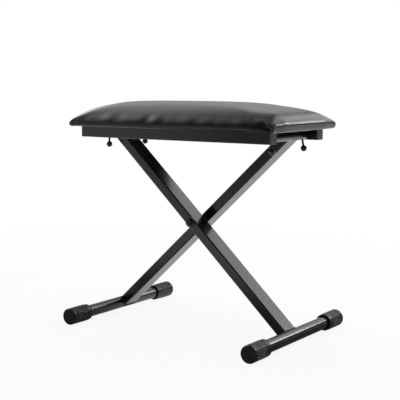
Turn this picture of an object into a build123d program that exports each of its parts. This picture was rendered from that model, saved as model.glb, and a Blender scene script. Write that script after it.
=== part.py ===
from build123d import *
import os
from math import ceil, cos, pi, radians, sin

# A folding keyboard bench: a padded seat on two rails, carried by two crossed legs.
# Millimetres. +Z is up, +X is to the right along the seat, -Y is the front.
# The origin is on the floor, under the middle of the overall length and depth.

# Seat cushion
cushion_length = 554.0
cushion_width = 273.5
cushion_corner = 10.0        # at the widest line
cushion_rise = 56.0          # crown above the underside of the board
cushion_widest = 8.0         # height of the widest line above the underside of the board
cushion_tuck = 7.0           # the cover draws in this much below the widest line
side_draw = 2.5              # each side is pulled in this much between its corners, at the widest line
crown_flat = 15.5            # half the flat strip along the crown, past its round corners
crown_end_slope = 29.0       # the ends slope this much further in than the sides
crown_round = 44.0           # the corners are rounder by this much halfway up the crown
crown_edge_power = 2.33      # fullness of the crown, measured inwards
crown_rise_power = 1.7       # fullness of the crown, measured upwards
crown_levels = 9
tuck_levels = 3
cover_thickness = 1.2
hem_thickness = 1.0

# Seat board and its fastenings
board_thickness = 12.0
board_corner = 12.0
dust_cover_thickness = 0.5
dust_cover_margin = 7.0      # between the dust cover and the rails' ends
screw_radius = 3.0
screw_head_radius = 6.0
screw_head_height = 3.4
screw_head_round = 1.1
screw_driver_radius = 1.8
screw_driver_depth = 1.8
screw_cover = 2.0            # board left above a screw's tip
screw_end_margin = 38.0      # outer screws from the rail tube's ends
screw_access_radius = 7.0
tee_nut_radius = 4.0
tee_nut_rise = 3.0           # board left below a tee nut
tee_nut_flange_radius = 9.0
tee_nut_flange = 1.3
staple_crown = 10.0
staple_wire = 0.7
staple_pitch = 44.0

# Seat rails
rail_end_inset = 21.0        # the rails' ends inside the cushion's ends
rail_side_inset = 25.6       # the rails' outer faces inside the cushion's sides
rail_size = 26.0
rail_wall = 1.5
rail_inner_corner = 0.5
rail_plug_flange = 3.0
rail_plug_wall = 3.0
rail_plug_depth = 14.0
rail_plug_round = 1.0
hole_end_margin = 25.0       # outer pin holes from the rail tube's ends
hole_pitch = 18.0            # inner pin holes from the outer ones
hole_above_rail_bottom = 9.0

# Legs
leg_angle = 47.4             # from upright, in degrees
leg_width = 22.2
leg_depth = 43.0
leg_wall = 1.5
leg_inner_corner = 1.0
leg_gap = 9.0                # between the two legs
leg_top_setback = 3.0        # the leg's end stands this far short of the bar's middle
leg_foot_setback = 5.0       # and this far short of the foot tube's middle

# Pivot
pivot_height = 246.7
bolt_radius = 4.0
bolt_head_radius = 7.0
bolt_head_height = 5.0
bolt_head_round = 2.4
bolt_socket_size = 5.0       # across flats
bolt_socket_depth = 3.5
bolt_tail = 1.5              # thread past the nut
nut_size = 13.0              # across flats
nut_height = 6.5
nut_collar_radius = 5.8
nut_collar_height = 1.8
front_washer_radius = 12.0
rear_washer_radius = 9.5
washer_thickness = 1.6
spacer_radius = 10.0
sleeve_wall = 2.0

# Feet
foot_lead = 4.3              # foot tube axis outside the leg's middle line
foot_length = 378.5          # over the caps
foot_stagger = 9.8           # each foot is this far off centre, towards its own leg
foot_tube_radius = 14.0
foot_tube_wall = 1.5
cap_wall = 5.2               # rubber round the foot tube
cap_mouth_taper = 0.6        # the cap narrows this much towards its mouth
cap_length = 63.5
cap_floor = 6.0
cap_end_round = 4.0
cap_lip_round = 2.0
cap_mouth_gap = 1.9          # open rim round the foot tube
cap_mouth_depth = 7.0
cap_flat = 0.5               # worn flat where the cap stands on the floor
flute_count = 32
flute_radius = 1.4
flute_depth = 1.0
flute_start = 9.0            # smooth band at the cap's outer end
flute_mouth_margin = 14.0    # smooth band at the cap's mouth

# Top bars and locking pins
bar_drop = 6.6               # bar axis below the leg's middle line
bar_wall = 1.5
bar_rail_gap = 6.65          # between a bar's end and the rail
bush_length = 7.0
bush_wall = 1.5
bush_flange = 1.5
stop_half_length = 8.0
pin_radius = 5.0
pin_chamfer = 1.0
pin_engagement = 8.0         # pin tip past the rail's inner face
pin_travel = 16.0
piston_length = 22.0
lever_inset = 3.2            # lever from the piston's outer end
lever_radius = 2.3
lever_lean = 11.0            # the right levers lean outwards, in degrees
lever_slot_side = 0.5        # room on each side of the lever in its slot
lever_root = 1.0             # the lever's inner end, below the pin's axis
ball_radius = 6.8
ball_drop = 27.0             # ball's middle from the bar's axis
ball_socket_depth = 4.0
spring_wire_radius = 0.6
spring_side_gap = 1.1        # between the spring and the bar
spring_turns = 8
spring_seat_gap = 0.2

# Clearances
fit_clearance = 0.05         # radial, for pins, sleeves and plugs
running_gap = 0.3            # between faces that pass each other
soft_gap = 0.3               # round the foam
open_pivot_gap = 0.4         # right pins stand this far short of the rails
hem_gap = 1.0                # between the hem and the rails
cut_margin = 1.0             # cutting solids run this far past what they cut

# Sizes and places worked out from the ones above
crown_reach = cushion_width / 2 - cushion_corner - crown_flat
crown_end_reach = crown_reach + crown_end_slope
rail_length = cushion_length - 2 * rail_end_inset
rail_spacing = cushion_width - 2 * rail_side_inset
rail_corner = rail_inner_corner + rail_wall
rail_bore = rail_size - 2 * rail_wall
tube_length = rail_length - 2 * rail_plug_flange
outer_hole = tube_length / 2 - hole_end_margin
inner_hole = outer_hole - hole_pitch
screw_spacing = tube_length / 2 - screw_end_margin
lean_x = sin(radians(leg_angle))
lean_z = cos(radians(leg_angle))
leg_corner = leg_inner_corner + leg_wall
sleeve_radius = bolt_radius + sleeve_wall
cap_radius = foot_tube_radius + cap_wall
cap_mouth_radius = cap_radius - cap_mouth_taper
cap_mouth_bore_radius = foot_tube_radius + cap_mouth_gap
flute_end = cap_length - flute_mouth_margin
bar_half_spacing = (inner_hole + outer_hole) / 2
bar_height = pivot_height + bar_half_spacing * lean_z / lean_x - bar_drop
foot_height = cap_radius - cap_flat
foot_half_spacing = (pivot_height - foot_height) * lean_x / lean_z + foot_lead
seat_shift = (outer_hole - inner_hole) / 2
left_reach = cushion_length / 2 + seat_shift
right_reach = foot_half_spacing + cap_radius
pivot_x = (left_reach - right_reach) / 2
seat_x = pivot_x - seat_shift
rail_bottom = bar_height - hole_above_rail_bottom
rail_middle = rail_bottom + rail_size / 2
seat_base = rail_bottom + rail_size
board_inset = cushion_tuck + cover_thickness + side_draw + soft_gap
tee_nut_depth = board_thickness - tee_nut_rise
rail_y = (rail_spacing - rail_size) / 2
rail_inner_face = rail_spacing / 2 - rail_size
leg_y = (leg_gap + leg_depth) / 2
bar_bore = pin_radius + bush_wall
bar_radius = bar_bore + bar_wall
bar_half_length = rail_inner_face - bar_rail_gap - bush_flange
piston_end = bar_half_length - bush_length - running_gap
piston_start = piston_end - piston_length
lever_offset = piston_end - lever_inset
spring_mean_radius = bar_bore - spring_side_gap - spring_wire_radius
SIDES = {"left": -1, "right": 1}
ENDS = {"front": -1, "rear": 1}

os.makedirs("parts", exist_ok=True)


def finish(builder, name):
    """Label one finished piece and write it to its own file."""
    builder.part.label = name
    export_step(builder.part, f"parts/{name}.step")


def along_x(x, y, z, direction):
    """A plane across the bench's length, facing the left (-1) or the right (1)."""
    return Plane(origin=(x, y, z), x_dir=(0, 1, 0), z_dir=(direction, 0, 0))


def along_y(x, y, z, direction):
    """A plane across the bench's depth, facing the front (-1) or the rear (1)."""
    return Plane(origin=(x, y, z), x_dir=(1, 0, 0), z_dir=(0, direction, 0))


def crown_level(step):
    """Height, insets from the ends and the sides, and corner of one level of the crown."""
    full = 1 - (1 - step) ** crown_edge_power
    height = cushion_widest + (cushion_rise - cushion_widest) * full ** (1 / crown_rise_power)
    corner = cushion_corner + crown_round * 4 * step * (1 - step)
    return height, step * crown_end_reach, step * crown_reach, corner


def tuck_level(bottom, turn):
    """Height, insets and corner of one level of the drawn-in side, below the widest line."""
    height = bottom + (cushion_widest - bottom) * (1 - cos(turn))
    inset = cushion_tuck * (1 - sin(turn))
    return height, inset, inset, cushion_corner


def cushion_section(height, end_inset, side_inset, corner):
    """One level of the cushion: round corners, and sides pulled in a little between them."""
    x = cushion_length / 2 - end_inset
    y = cushion_width / 2 - side_inset
    round_x = x - corner
    round_y = y - corner
    bow = corner * cos(pi / 4)
    draw_x = side_draw * round_y / (cushion_width / 2 - cushion_corner)
    draw_y = side_draw * round_x / (cushion_length / 2 - cushion_corner)
    with BuildSketch(Plane((seat_x, 0, seat_base + height))) as section:
        with BuildLine():
            ThreePointArc((-round_x, -y), (0, draw_y - y), (round_x, -y))
            ThreePointArc((round_x, -y), (round_x + bow, -round_y - bow), (x, -round_y))
            ThreePointArc((x, -round_y), (x - draw_x, 0), (x, round_y))
            ThreePointArc((x, round_y), (round_x + bow, round_y + bow), (round_x, y))
            ThreePointArc((round_x, y), (0, y - draw_y), (-round_x, y))
            ThreePointArc((-round_x, y), (-round_x - bow, round_y + bow), (-x, round_y))
            ThreePointArc((-x, round_y), (draw_x - x, 0), (-x, -round_y))
            ThreePointArc((-x, -round_y), (-round_x - bow, -round_y - bow), (-round_x, -y))
        make_face()
    return section.sketch


def cushion_sections(bottom, skin):
    """The cushion's levels from the bottom up, a skin's thickness inside its surface."""
    tuck = [tuck_level(bottom, pi / 2 * step / tuck_levels) for step in range(tuck_levels + 1)]
    crown = [crown_level((step / crown_levels) ** 2) for step in range(1, crown_levels + 1)]
    sections = []
    for height, end, side, corner in tuck:
        sections.append(cushion_section(height, end + skin, side + skin, corner))
    for height, end, side, corner in crown:
        sections.append(cushion_section(height - skin, end + skin, side + skin, corner))
    return sections


# Seat cover: a vinyl skin over the foam, with its hem turned under the board
with BuildPart() as seat_cover:
    loft(cushion_sections(-hem_thickness, 0), ruled=True)
    loft(cushion_sections(0, cover_thickness), ruled=True, mode=Mode.SUBTRACT)
    with BuildSketch(Plane((seat_x, 0, seat_base - hem_thickness - cut_margin))):
        Rectangle(rail_length + 2 * hem_gap, rail_spacing + 2 * hem_gap)
    extrude(amount=hem_thickness + 2 * cut_margin, mode=Mode.SUBTRACT)
finish(seat_cover, "seat_cover")

# Foam pad on the board, a little smaller than the room inside the cover
with BuildPart() as seat_foam:
    loft(cushion_sections(0, cover_thickness + soft_gap), ruled=True)
    split(bisect_by=Plane.XY.offset(seat_base + board_thickness), keep=Keep.TOP)
finish(seat_foam, "seat_foam")

# Places of the screws that hold the board on the rails
screw_steps = (-screw_spacing, 0, screw_spacing)
screw_places = [(seat_x + step, end * rail_y) for step in screw_steps for end in ENDS.values()]

with BuildPart() as seat_board:
    with BuildSketch(Plane.XY.offset(seat_base)):
        with Locations((seat_x, 0)):
            RectangleRounded(cushion_length - 2 * board_inset, cushion_width - 2 * board_inset, board_corner)
    extrude(amount=board_thickness)
    with BuildSketch(Plane.XY.offset(seat_base)):
        with Locations(*screw_places):
            Circle(tee_nut_radius + fit_clearance)
    extrude(amount=board_thickness, mode=Mode.SUBTRACT)
    with BuildSketch(Plane.XY.offset(seat_base + board_thickness - tee_nut_flange)):
        with Locations(*screw_places):
            Circle(tee_nut_flange_radius + fit_clearance)
    extrude(amount=tee_nut_flange, mode=Mode.SUBTRACT)
finish(seat_board, "seat_board")

with BuildPart() as tee_nuts:
    with BuildSketch(Plane.XY.offset(seat_base + board_thickness - tee_nut_depth)):
        with Locations(*screw_places):
            Circle(tee_nut_radius)
    extrude(amount=tee_nut_depth)
    with BuildSketch(Plane.XY.offset(seat_base + board_thickness - tee_nut_flange)):
        with Locations(*screw_places):
            Circle(tee_nut_flange_radius)
    extrude(amount=tee_nut_flange)
    with BuildSketch(Plane.XY.offset(seat_base + board_thickness - tee_nut_depth)):
        with Locations(*screw_places):
            Circle(screw_radius + fit_clearance)
    extrude(amount=tee_nut_depth, mode=Mode.SUBTRACT)
finish(tee_nuts, "tee_nuts")

# Screws: the heads sit inside the rails, against the upper wall
screw_seat = seat_base - rail_wall
with BuildPart() as rail_screws:
    with BuildSketch(Plane.XY.offset(screw_seat - screw_head_height)):
        with Locations(*screw_places):
            Circle(screw_head_radius)
    extrude(amount=screw_head_height)
    fillet(rail_screws.edges().group_by(Axis.Z)[0], screw_head_round)
    with BuildSketch(Plane.XY.offset(screw_seat)):
        with Locations(*screw_places):
            Circle(screw_radius)
    extrude(amount=rail_wall + board_thickness - screw_cover)
    with BuildSketch(Plane.XY.offset(screw_seat - screw_head_height)):
        with Locations(*screw_places):
            RegularPolygon(screw_driver_radius, 6)
    extrude(amount=screw_driver_depth, mode=Mode.SUBTRACT)
finish(rail_screws, "rail_screws")

with BuildPart() as dust_cover:
    with BuildSketch(Plane.XY.offset(seat_base - dust_cover_thickness)):
        with Locations((seat_x, 0)):
            Rectangle(rail_length - 2 * dust_cover_margin, 2 * (rail_inner_face - hem_gap))
    extrude(amount=dust_cover_thickness)
finish(dust_cover, "dust_cover")

# Staples that hold the hem under the board, in a ring outside the rails
hem_edge_x = cushion_length / 2 - cushion_tuck
hem_edge_y = cushion_width / 2 - cushion_tuck
staple_x = (rail_length / 2 + hem_gap + hem_edge_x) / 2
staple_y = (rail_spacing / 2 + hem_gap + hem_edge_y) / 2
long_count = ceil(rail_length / staple_pitch)
short_count = ceil(rail_spacing / staple_pitch)
with BuildPart() as cover_staples:
    with BuildSketch(Plane.XY.offset(seat_base - hem_thickness - staple_wire)):
        with Locations((seat_x, -staple_y), (seat_x, staple_y)):
            with GridLocations(rail_length / long_count, 0, long_count, 1):
                Rectangle(staple_crown, staple_wire)
        with Locations((seat_x - staple_x, 0), (seat_x + staple_x, 0)):
            with GridLocations(0, rail_spacing / short_count, 1, short_count):
                Rectangle(staple_wire, staple_crown)
    extrude(amount=staple_wire)
finish(cover_staples, "cover_staples")

# Seat rails: square tube, with pin holes through the inner wall and screw holes through the others
pin_hole_places = [side * hole for side in SIDES.values() for hole in (inner_hole, outer_hole)]
for end_name, end in ENDS.items():
    own_screws = [place for place in screw_places if place[1] * end > 0]
    with BuildPart() as rail:
        with BuildSketch(along_x(seat_x - tube_length / 2, end * rail_y, rail_middle, 1)):
            RectangleRounded(rail_size, rail_size, rail_corner)
            RectangleRounded(rail_bore, rail_bore, rail_inner_corner, mode=Mode.SUBTRACT)
        extrude(amount=tube_length)
        for place in pin_hole_places:
            with BuildSketch(along_y(seat_x + place, end * rail_y, bar_height, -end)):
                Circle(pin_radius + fit_clearance)
            extrude(amount=rail_size, mode=Mode.SUBTRACT)
        with BuildSketch(Plane.XY.offset(rail_middle)):
            with Locations(*own_screws):
                Circle(screw_radius + fit_clearance)
        extrude(amount=rail_size, mode=Mode.SUBTRACT)
        with BuildSketch(Plane.XY.offset(rail_middle)):
            with Locations(*own_screws):
                Circle(screw_access_radius)
        extrude(amount=-rail_size, mode=Mode.SUBTRACT)
    finish(rail, f"{end_name}_rail")

# Rail end plugs: a rounded flange on the tube's end and a shank inside it
plug_shank = rail_bore - 2 * fit_clearance
plug_hollow = plug_shank - 2 * rail_plug_wall
for end_name, end in ENDS.items():
    for side_name, side in SIDES.items():
        mouth = along_x(seat_x + side * tube_length / 2, end * rail_y, rail_middle, side)
        with BuildPart() as plug:
            with BuildSketch(mouth):
                RectangleRounded(rail_size, rail_size, rail_corner)
            extrude(amount=rail_plug_flange)
            fillet(plug.faces().sort_by(Axis.X)[-1 if side > 0 else 0].edges(), rail_plug_round)
            with BuildSketch(mouth):
                RectangleRounded(plug_shank, plug_shank, rail_corner)
                Rectangle(plug_hollow, plug_hollow, mode=Mode.SUBTRACT)
            extrude(amount=-rail_plug_depth)
        finish(plug, f"{end_name}_rail_{side_name}_plug")

# Legs: rectangular tube, coped onto the bar at the top and onto the foot tube below.
# The front leg leans to the left at its top, and the rear leg to the right.
LEGS = {"front": (-1, -leg_y), "rear": (1, leg_y)}
leg_top = bar_half_spacing * lean_x + (bar_height - pivot_height) * lean_z - leg_top_setback
leg_bottom = foot_half_spacing * lean_x + (pivot_height - foot_height) * lean_z - leg_foot_setback
for leg_name, (lean, y) in LEGS.items():
    with BuildPart() as leg:
        axis = Plane(origin=(pivot_x, y, pivot_height), x_dir=(0, 1, 0), z_dir=(lean * lean_x, 0, lean_z))
        with BuildSketch(axis.offset(-leg_bottom)):
            RectangleRounded(leg_depth, leg_width, leg_corner)
            RectangleRounded(
                leg_depth - 2 * leg_wall, leg_width - 2 * leg_wall, leg_inner_corner, mode=Mode.SUBTRACT
            )
        extrude(amount=leg_bottom + leg_top)
        with BuildSketch(Plane.XZ):
            with Locations((pivot_x + lean * bar_half_spacing, bar_height)):
                Circle(bar_radius + fit_clearance)
            with Locations((pivot_x - lean * foot_half_spacing, foot_height)):
                Circle(foot_tube_radius + fit_clearance)
            with Locations((pivot_x, pivot_height)):
                Circle(sleeve_radius + fit_clearance)
        extrude(amount=leg_depth + leg_gap, both=True, mode=Mode.SUBTRACT)
    finish(leg, f"{leg_name}_leg_tube")

    # A sleeve round the pivot bolt keeps the tube from being crushed
    with BuildPart() as sleeve:
        with BuildSketch(along_y(pivot_x, y - leg_depth / 2, pivot_height, 1)):
            Circle(sleeve_radius)
            Circle(bolt_radius + fit_clearance, mode=Mode.SUBTRACT)
        extrude(amount=leg_depth)
    finish(sleeve, f"{leg_name}_leg_sleeve")

# Pivot stack, from the front: bolt head, washer, front leg, spacer, rear leg, washer, lock nut
front_face = -leg_gap / 2 - leg_depth
rear_face = leg_gap / 2 + leg_depth
rear_washer_y = rear_face + running_gap
nut_y = rear_washer_y + washer_thickness
bolt_length = nut_y + nut_height + bolt_tail - (front_face - washer_thickness)

with BuildPart() as front_washer:
    with BuildSketch(along_y(pivot_x, front_face, pivot_height, -1)):
        Circle(front_washer_radius)
        Circle(bolt_radius + fit_clearance, mode=Mode.SUBTRACT)
    extrude(amount=washer_thickness)
finish(front_washer, "pivot_front_washer")

with BuildPart() as rear_washer:
    with BuildSketch(along_y(pivot_x, rear_washer_y, pivot_height, 1)):
        Circle(rear_washer_radius)
        Circle(bolt_radius + fit_clearance, mode=Mode.SUBTRACT)
    extrude(amount=washer_thickness)
finish(rear_washer, "pivot_rear_washer")

with BuildPart() as spacer:
    with BuildSketch(along_y(pivot_x, -leg_gap / 2, pivot_height, 1)):
        Circle(spacer_radius)
        Circle(bolt_radius + fit_clearance, mode=Mode.SUBTRACT)
    extrude(amount=leg_gap - running_gap)
finish(spacer, "pivot_spacer")

with BuildPart() as bolt:
    with BuildSketch(along_y(pivot_x, front_face - washer_thickness, pivot_height, 1)):
        Circle(bolt_radius)
    extrude(amount=bolt_length)
    with BuildSketch(along_y(pivot_x, front_face - washer_thickness, pivot_height, -1)):
        Circle(bolt_head_radius)
    extrude(amount=bolt_head_height)
    fillet(bolt.faces().sort_by(Axis.Y)[0].edges(), bolt_head_round)
    with BuildSketch(along_y(pivot_x, front_face - washer_thickness - bolt_head_height, pivot_height, 1)):
        RegularPolygon(bolt_socket_size / 2, 6, major_radius=False)
    extrude(amount=bolt_socket_depth, mode=Mode.SUBTRACT)
finish(bolt, "pivot_bolt")

with BuildPart() as lock_nut:
    with BuildSketch(along_y(pivot_x, nut_y, pivot_height, 1)):
        RegularPolygon(nut_size / 2, 6, major_radius=False)
    extrude(amount=nut_height - nut_collar_height)
    with BuildSketch(along_y(pivot_x, nut_y, pivot_height, 1)):
        Circle(nut_collar_radius)
    extrude(amount=nut_height)
    with BuildSketch(along_y(pivot_x, nut_y, pivot_height, 1)):
        Circle(bolt_radius + fit_clearance)
    extrude(amount=nut_height, mode=Mode.SUBTRACT)
finish(lock_nut, "pivot_lock_nut")

# Feet: the rear leg stands on the left foot and the front leg on the right foot
for side_name, side in SIDES.items():
    foot_x = pivot_x + side * foot_half_spacing
    foot_y = -side * foot_stagger
    half_tube = foot_length / 2 - cap_floor
    with BuildPart() as foot_tube:
        with BuildSketch(along_y(foot_x, foot_y - half_tube, foot_height, 1)):
            Circle(foot_tube_radius)
            Circle(foot_tube_radius - foot_tube_wall, mode=Mode.SUBTRACT)
        extrude(amount=2 * half_tube)
    finish(foot_tube, f"{side_name}_foot_tube")

    for end_name, end in ENDS.items():
        cap_end = foot_y + end * foot_length / 2
        middle = Axis((foot_x, cap_end, foot_height), (0, 1, 0))
        with BuildPart() as cap:
            profile = Plane(origin=(foot_x, cap_end, foot_height), x_dir=(1, 0, 0), z_dir=(0, 0, -end))
            with BuildSketch(profile):
                with BuildLine():
                    Polyline(
                        (0, 0),
                        (cap_radius, 0),
                        (cap_radius, flute_end),
                        (cap_mouth_radius, cap_length),
                        (cap_mouth_bore_radius, cap_length),
                        (cap_mouth_bore_radius, cap_length - cap_mouth_depth),
                        (foot_tube_radius + fit_clearance, cap_length - cap_mouth_depth),
                        (foot_tube_radius + fit_clearance, cap_floor),
                        (0, cap_floor),
                        close=True,
                    )
                make_face()
            revolve(axis=middle)
            by_depth = cap.edges().filter_by(GeomType.CIRCLE).group_by(Axis.Y)
            outer_edge, mouth_edges = (by_depth[0], by_depth[-1]) if end < 0 else (by_depth[-1], by_depth[0])
            fillet(outer_edge, cap_end_round)
            fillet(mouth_edges.sort_by(SortBy.RADIUS)[-1], cap_lip_round)
            with BuildSketch(along_y(foot_x, cap_end - end * flute_start, foot_height, -end)):
                with PolarLocations(cap_radius + flute_radius - flute_depth, flute_count):
                    Circle(flute_radius)
            extrude(amount=flute_end - flute_start, mode=Mode.SUBTRACT)
            with BuildSketch(Plane.XY):
                with Locations((foot_x, cap_end - end * cap_length / 2)):
                    Rectangle(2 * cap_radius, cap_length + cut_margin)
            extrude(amount=-cap_flat - cut_margin, mode=Mode.SUBTRACT)
        finish(cap, f"{side_name}_foot_{end_name}_cap")



def below_bar(x, y, drop, lean):
    """A plane at a distance below a bar's axis, facing down along a lever that leans to the right."""
    origin = (x + drop * sin(lean), y, bar_height - drop * cos(lean))
    return Plane(origin=origin, x_dir=(0, 1, 0), z_dir=(sin(lean), 0, -cos(lean)))


# Top bars: round tube across the top of each leg, with lever slots in its underside
LEANS = {"left": 0.0, "right": radians(lever_lean)}
slot_width = 2 * (lever_radius + lever_slot_side)
slot_middle = lever_offset - pin_travel / 2
for side_name, side in SIDES.items():
    bar_x = pivot_x + side * bar_half_spacing
    with BuildPart() as bar:
        with BuildSketch(along_y(bar_x, -bar_half_length, bar_height, 1)):
            Circle(bar_radius)
            Circle(bar_bore, mode=Mode.SUBTRACT)
        extrude(amount=2 * bar_half_length)
        with BuildSketch(below_bar(bar_x, 0, 0, LEANS[side_name])):
            with Locations((-slot_middle, 0), (slot_middle, 0)):
                SlotOverall(pin_travel + slot_width, slot_width)
        extrude(amount=bar_radius + cut_margin, mode=Mode.SUBTRACT)
    finish(bar, f"{side_name}_top_bar")

    with BuildPart() as stop:
        with BuildSketch(along_y(bar_x, -stop_half_length, bar_height, 1)):
            Circle(bar_bore - fit_clearance)
        extrude(amount=2 * stop_half_length)
    finish(stop, f"{side_name}_spring_stop")


def spring_point(x, end, share):
    """A point of a spring's centre line, and its direction there, at a share of its length."""
    start = stop_half_length + spring_seat_gap + spring_wire_radius
    length = piston_start - spring_seat_gap - spring_wire_radius - start
    turn = 2 * pi * spring_turns * share
    sweep_rate = 2 * pi * spring_turns * spring_mean_radius
    point = Vector(
        x + spring_mean_radius * cos(turn),
        end * (start + length * share),
        bar_height + spring_mean_radius * sin(turn),
    )
    direction = Vector(-sweep_rate * sin(turn), end * length, sweep_rate * cos(turn))
    return point, direction.normalized()


def arc_corners(first, first_direction, last, last_direction):
    """Corners of the two arcs that join two points in one smooth line and keep both directions."""
    chord = last - first
    both = first_direction + last_direction
    bend = 2 * (1 - first_direction.dot(last_direction))
    along = chord.dot(both)
    reach = ((along**2 + bend * chord.dot(chord)) ** 0.5 - along) / bend
    return first + first_direction * reach, last - last_direction * reach


# Locking pins, one in each end of each bar, with their guide bushes, springs, levers and balls.
# The left pins are the seat's hinge. The right pins stop just short of the rails.
PIN_TIPS = {"left": rail_inner_face + pin_engagement, "right": rail_inner_face - open_pivot_gap}
ball_top = ball_drop - ball_radius
for side_name, side in SIDES.items():
    bar_x = pivot_x + side * bar_half_spacing
    for end_name, end in ENDS.items():
        name = f"{side_name}_{end_name}"
        lever_y = end * lever_offset
        lean = LEANS[side_name]
        with BuildPart() as bush:
            with BuildSketch(along_y(bar_x, end * (bar_half_length - bush_length), bar_height, end)):
                Circle(bar_bore - fit_clearance)
            extrude(amount=bush_length)
            with BuildSketch(along_y(bar_x, end * bar_half_length, bar_height, end)):
                Circle(bar_radius)
            extrude(amount=bush_flange)
            with BuildSketch(along_y(bar_x, end * (bar_half_length - bush_length), bar_height, end)):
                Circle(pin_radius + fit_clearance)
            extrude(amount=bush_length + bush_flange, mode=Mode.SUBTRACT)
        finish(bush, f"{name}_bush")

        with BuildPart() as pin:
            with BuildSketch(along_y(bar_x, end * piston_start, bar_height, end)):
                Circle(bar_bore - fit_clearance)
            extrude(amount=piston_length)
            with BuildSketch(along_y(bar_x, end * piston_start, bar_height, end)):
                Circle(pin_radius)
            extrude(amount=PIN_TIPS[side_name] - piston_start)
            tip_edges = pin.edges().filter_by(GeomType.CIRCLE).group_by(Axis.Y)[-1 if end > 0 else 0]
            chamfer(tip_edges, pin_chamfer)
            with BuildSketch(below_bar(bar_x, lever_y, lever_root, lean)):
                Circle(lever_radius + fit_clearance)
            extrude(amount=bar_radius, mode=Mode.SUBTRACT)
        finish(pin, f"{name}_pin")

        with BuildPart() as lever:
            with BuildSketch(below_bar(bar_x, lever_y, lever_root, lean)):
                Circle(lever_radius)
            extrude(amount=ball_top + ball_socket_depth - lever_root)
        finish(lever, f"{name}_lever")

        with BuildPart() as ball:
            with Locations(below_bar(bar_x, lever_y, ball_drop, lean).origin):
                Sphere(ball_radius)
            with BuildSketch(below_bar(bar_x, lever_y, ball_top, lean)):
                Circle(lever_radius + fit_clearance)
            extrude(amount=ball_socket_depth, mode=Mode.SUBTRACT)
        finish(ball, f"{name}_ball")

        quarter_count = 4 * spring_turns
        quarters = [spring_point(bar_x, end, step / quarter_count) for step in range(quarter_count + 1)]
        with BuildPart() as spring:
            with BuildLine():
                for (first, first_direction), (last, last_direction) in zip(quarters, quarters[1:]):
                    first_corner, last_corner = arc_corners(first, first_direction, last, last_direction)
                    meeting = (first_corner + last_corner) * 0.5
                    TangentArc(first, meeting, tangent=first_direction)
                    TangentArc(meeting, last, tangent=last_corner - first_corner)
            with BuildSketch(Plane(origin=quarters[0][0], z_dir=quarters[0][1])):
                Circle(spring_wire_radius)
            sweep()
        finish(spring, f"{name}_spring")

spring_pitch = (quarters[4][0] - quarters[0][0]).length
print(f"least gap between a spring's curls: {spring_pitch - 2 * spring_wire_radius:.2f} mm")
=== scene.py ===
from math import cos, pi, radians, sin, sqrt

import bmesh
import bpy
import numpy as np
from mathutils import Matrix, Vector


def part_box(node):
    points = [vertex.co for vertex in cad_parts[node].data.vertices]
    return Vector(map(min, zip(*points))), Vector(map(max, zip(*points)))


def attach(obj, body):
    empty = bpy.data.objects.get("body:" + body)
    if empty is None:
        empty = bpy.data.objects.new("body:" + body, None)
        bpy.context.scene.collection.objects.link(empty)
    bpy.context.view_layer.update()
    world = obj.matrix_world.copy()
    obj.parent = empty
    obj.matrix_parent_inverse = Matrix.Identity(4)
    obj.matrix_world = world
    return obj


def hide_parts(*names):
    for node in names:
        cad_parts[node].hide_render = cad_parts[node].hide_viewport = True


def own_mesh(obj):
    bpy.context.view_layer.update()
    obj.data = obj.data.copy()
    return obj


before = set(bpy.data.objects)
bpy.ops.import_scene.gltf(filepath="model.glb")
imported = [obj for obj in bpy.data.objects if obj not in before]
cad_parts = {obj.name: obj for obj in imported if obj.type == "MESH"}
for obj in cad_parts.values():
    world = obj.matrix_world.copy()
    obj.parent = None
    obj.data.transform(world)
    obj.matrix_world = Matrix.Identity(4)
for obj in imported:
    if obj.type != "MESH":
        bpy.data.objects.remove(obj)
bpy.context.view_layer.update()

# The looks of a folding keyboard bench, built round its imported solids.
# Metres, in the bench's own frame: +Z up, +X to the right along the seat, -Y to the front.

MM = 0.001

# Camera, as the photograph was taken: its place is given from the pivot's foot on the floor
CAMERA_AZIMUTH = radians(35.468)
CAMERA_PITCH = radians(7.133)
CAMERA_PLACE = Vector((1.25114, -1.76527, 0.56237))
FOCAL_PIXELS = 957.04
IMAGE_PIXELS = 400
SENSOR_WIDTH = 36.0
VIEW_END = 50

# Legs
BOLT_LOW, BOLT_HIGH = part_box("pivot_bolt")
PIVOT_X = (BOLT_LOW.x + BOLT_HIGH.x) / 2
PIVOT_Z = (BOLT_LOW.z + BOLT_HIGH.z) / 2
LEG_LEAN = radians(47.4)
LEG_WIDTH = 22.2 * MM
LEG_CORNER = 2.5 * MM
LEG_TOP_SETBACK = 3 * MM
LEG_FOOT_SETBACK = 5 * MM

# Cushion
COVER_LOW, COVER_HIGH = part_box("seat_cover")
RAIL_LOW, RAIL_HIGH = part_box("front_rail")
REAR_RAIL_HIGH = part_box("rear_rail")[1]
SEAT_X = (COVER_LOW.x + COVER_HIGH.x) / 2
SEAT_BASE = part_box("seat_board")[0].z
HALF_LENGTH = (COVER_HIGH.x - COVER_LOW.x) / 2
HALF_WIDTH = (COVER_HIGH.y - COVER_LOW.y) / 2
CUSHION_RISE = COVER_HIGH.z - SEAT_BASE
EDGE_CORNER = 10 * MM
CROWN_CORNER = 62 * MM
CORNER_LIMIT = 0.94
CORNER_BLEND = 4
LEFT_REACH = 124 * MM
RIGHT_REACH = 157 * MM
SIDE_REACH = 111 * MM
LEFT_WIDEST = 5.5 * MM
RIGHT_WIDEST = 10.5 * MM
CROWN_EDGE_POWER = 2.33
CROWN_RISE_POWER = 1.69
CROWN_FALL = 0.12
FALL_START = 7 * MM
SIDE_DRAW = 1.5 * MM
HEM_DEPTH = 1 * MM
HEM_CORNER = 0.4
HEM_TURN_UP = 3 * MM
TUCK = 7 * MM
TUCK_POWER = 2.2
LONG_CELLS = 132
SHORT_CELLS = 64
CROWN_RINGS = 27
SECTION_SAMPLES = 2000
SLACK_RINGS = 7
TUCK_RINGS = 5
HEM_RINGS = 3
RAIL_PLUG = 3 * MM
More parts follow.
